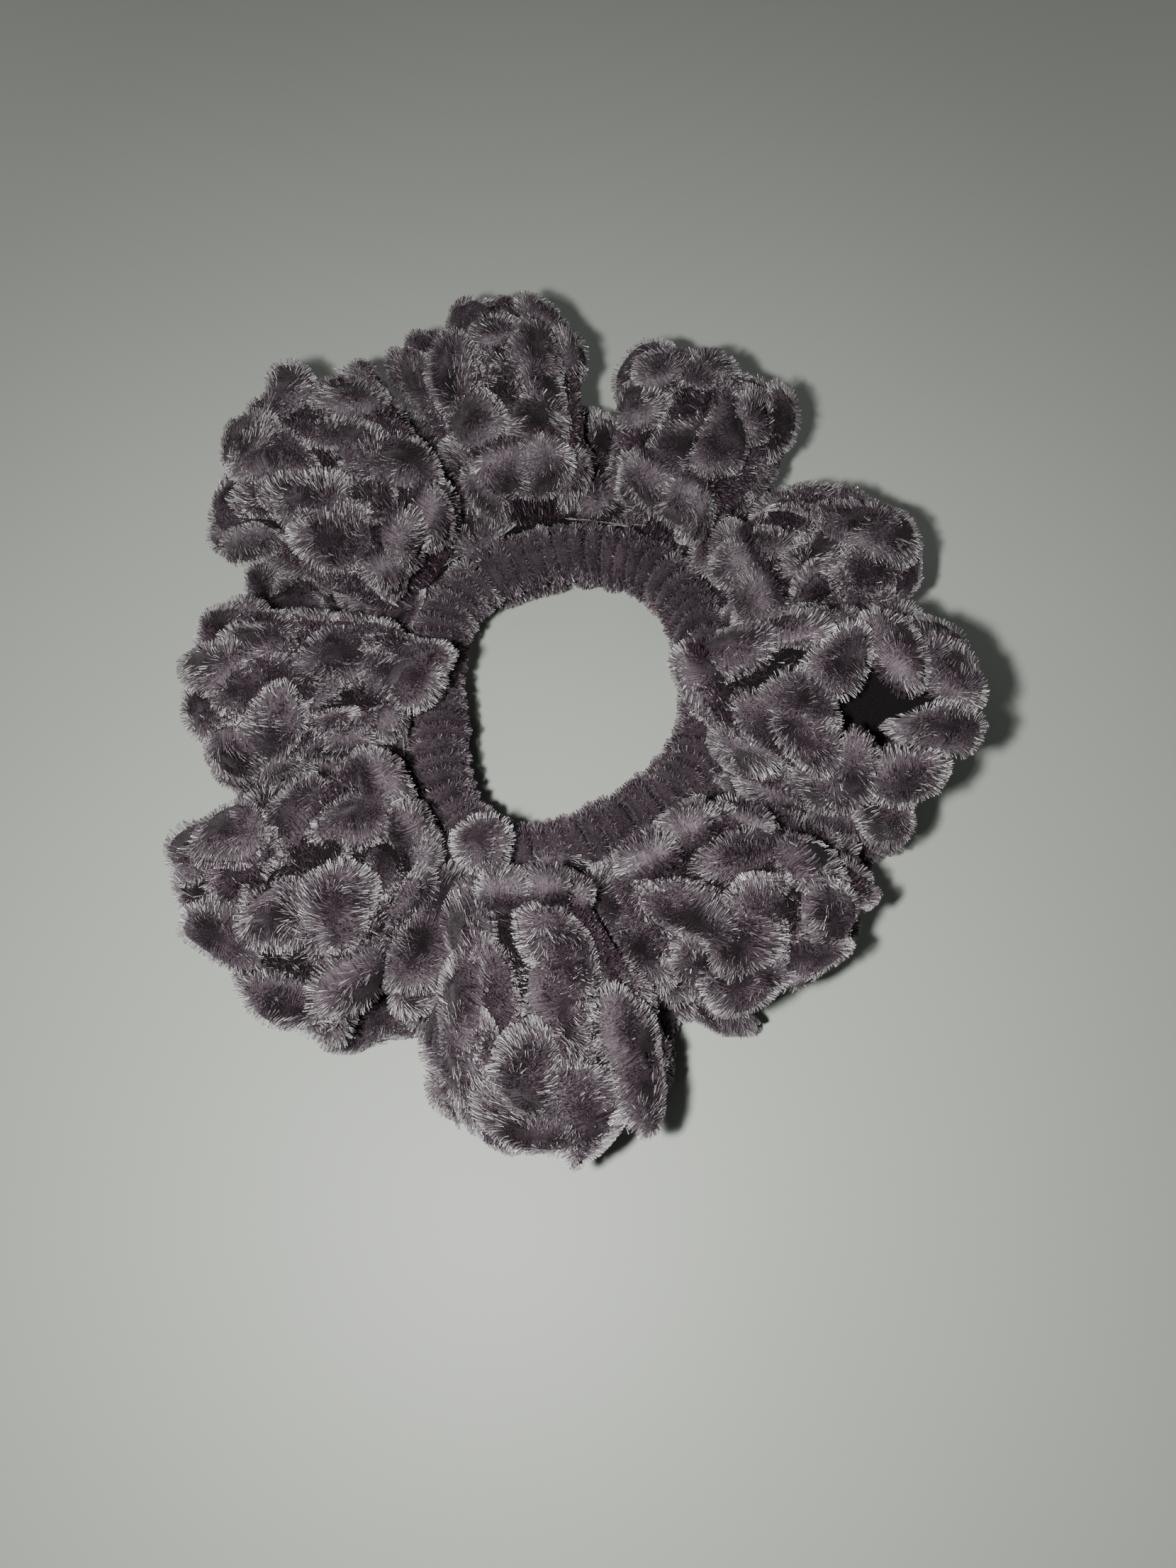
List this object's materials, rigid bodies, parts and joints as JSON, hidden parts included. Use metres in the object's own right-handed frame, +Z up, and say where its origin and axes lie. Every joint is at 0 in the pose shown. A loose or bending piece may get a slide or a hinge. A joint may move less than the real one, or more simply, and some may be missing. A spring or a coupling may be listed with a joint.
{
  "type": "crocheted scrunchie",
  "caption": "Hair elastic covered in single crochet, with a gathered ruffle of plush chenille yarn whose deep folds spread apart as the elastic stretches.",
  "frame": {"origin": "middle of the plan outline, on the surface that the ruffle rests on", "axes": "+Z up through the opening, +Y along the longest extent, with the tallest fold on the +X side"},
  "size_m": [0.0995, 0.1214, 0.0377],
  "materials": {
    "chenille_yarn": "plush velvet pile, dusty plum with a silvery sheen",
    "elastic_rubber": "matte",
    "elastic_braid": "tight polyester braid",
    "bonded_joint": "smooth bonded rubber"
  },
  "bodies": {
    "section_1": {"elastic_core_1": "elastic_rubber", "elastic_jacket_1": "elastic_braid", "cover_stitches_1": "chenille_yarn", "ruffle_first_round_1": "chenille_yarn", "ruffle_edge_round_1": "chenille_yarn"},
    "section_2": {"elastic_core_2": "elastic_rubber", "elastic_jacket_2": "elastic_braid", "cover_stitches_2": "chenille_yarn", "ruffle_first_round_2": "chenille_yarn", "ruffle_edge_round_2": "chenille_yarn"},
    "section_3": {"elastic_core_3": "elastic_rubber", "elastic_jacket_3": "elastic_braid", "cover_stitches_3": "chenille_yarn", "ruffle_first_round_3": "chenille_yarn", "ruffle_edge_round_3": "chenille_yarn"},
    "section_4": {"elastic_core_4": "elastic_rubber", "elastic_jacket_4": "elastic_braid", "cover_stitches_4": "chenille_yarn", "ruffle_first_round_4": "chenille_yarn", "ruffle_edge_round_4": "chenille_yarn"},
    "section_5": {"elastic_core_5": "elastic_rubber", "elastic_jacket_5": "elastic_braid", "cover_stitches_5": "chenille_yarn", "ruffle_first_round_5": "chenille_yarn", "ruffle_edge_round_5": "chenille_yarn"},
    "section_6": {"elastic_core_6": "elastic_rubber", "elastic_jacket_6": "elastic_braid", "cover_stitches_6": "chenille_yarn", "ruffle_first_round_6": "chenille_yarn", "ruffle_edge_round_6": "chenille_yarn"},
    "section_7": {"elastic_core_7": "elastic_rubber", "elastic_jacket_7": "elastic_braid", "cover_stitches_7": "chenille_yarn", "ruffle_first_round_7": "chenille_yarn", "ruffle_edge_round_7": "chenille_yarn"},
    "section_8": {"elastic_core_8": "elastic_rubber", "elastic_jacket_8": "elastic_braid", "cover_stitches_8": "chenille_yarn", "ruffle_first_round_8": "chenille_yarn", "ruffle_edge_round_8": "chenille_yarn"},
    "section_9": {"elastic_core_9": "elastic_rubber", "elastic_jacket_9": "elastic_braid", "cover_stitches_9": "chenille_yarn", "ruffle_first_round_9": "chenille_yarn", "ruffle_edge_round_9": "chenille_yarn"},
    "yarn_join": {"elastic_bond": "bonded_joint", "join_stitch": "chenille_yarn", "start_knot": "chenille_yarn", "fasten_off_knot": "chenille_yarn", "start_tail": "chenille_yarn", "end_tail": "chenille_yarn"}
  },
  "joints": [
    {"name": "stretch_7_8", "type": "slide", "parent": "section_7", "child": "section_8", "axis": [0.9362, 0.3514, 0], "range_m": [0, 0.0113], "stiffness_N_per_m": 600},
    {"name": "stretch_8_9", "type": "slide", "parent": "section_8", "child": "section_9", "axis": [0.6674, 0.7447, 0], "range_m": [0, 0.01368], "stiffness_N_per_m": 600},
    {"name": "stretch_9_1", "type": "slide", "parent": "section_9", "child": "section_1", "axis": [-0.0375, 0.9993, 0], "range_m": [0, 0.01433], "stiffness_N_per_m": 600},
    {"name": "stretch_1_2", "type": "slide", "parent": "section_1", "child": "section_2", "axis": [-0.6099, 0.7925, 0], "range_m": [0, 0.0093], "stiffness_N_per_m": 600},
    {"name": "stretch_2_join", "type": "slide", "parent": "section_2", "child": "yarn_join", "axis": [-0.9899, 0.1419, 0], "range_m": [0, 0.01252], "stiffness_N_per_m": 600},
    {"name": "stretch_7_6", "type": "slide", "parent": "section_7", "child": "section_6", "axis": [-0.8266, 0.5628, 0], "range_m": [0, 0.01115], "stiffness_N_per_m": 600},
    {"name": "stretch_6_5", "type": "slide", "parent": "section_6", "child": "section_5", "axis": [-0.1386, 0.9903, 0], "range_m": [0, 0.01208], "stiffness_N_per_m": 600},
    {"name": "stretch_5_4", "type": "slide", "parent": "section_5", "child": "section_4", "axis": [0.1105, 0.9939, 0], "range_m": [0, 0.01231], "stiffness_N_per_m": 600},
    {"name": "stretch_4_3", "type": "slide", "parent": "section_4", "child": "section_3", "axis": [0.8299, 0.5579, 0], "range_m": [0, 0.01283], "stiffness_N_per_m": 600}
  ],
  "couplings": [
    {"joint": "stretch_8_9", "follows": "stretch_7_8", "ratio": 1.2086},
    {"joint": "stretch_9_1", "follows": "stretch_7_8", "ratio": 1.2661},
    {"joint": "stretch_1_2", "follows": "stretch_7_8", "ratio": 0.8209},
    {"joint": "stretch_2_join", "follows": "stretch_7_8", "ratio": 1.1063},
    {"joint": "stretch_7_6", "follows": "stretch_7_8", "ratio": 0.9847},
    {"joint": "stretch_6_5", "follows": "stretch_7_8", "ratio": 1.0669},
    {"joint": "stretch_5_4", "follows": "stretch_7_8", "ratio": 1.0874},
    {"joint": "stretch_4_3", "follows": "stretch_7_8", "ratio": 1.134}
  ]
}
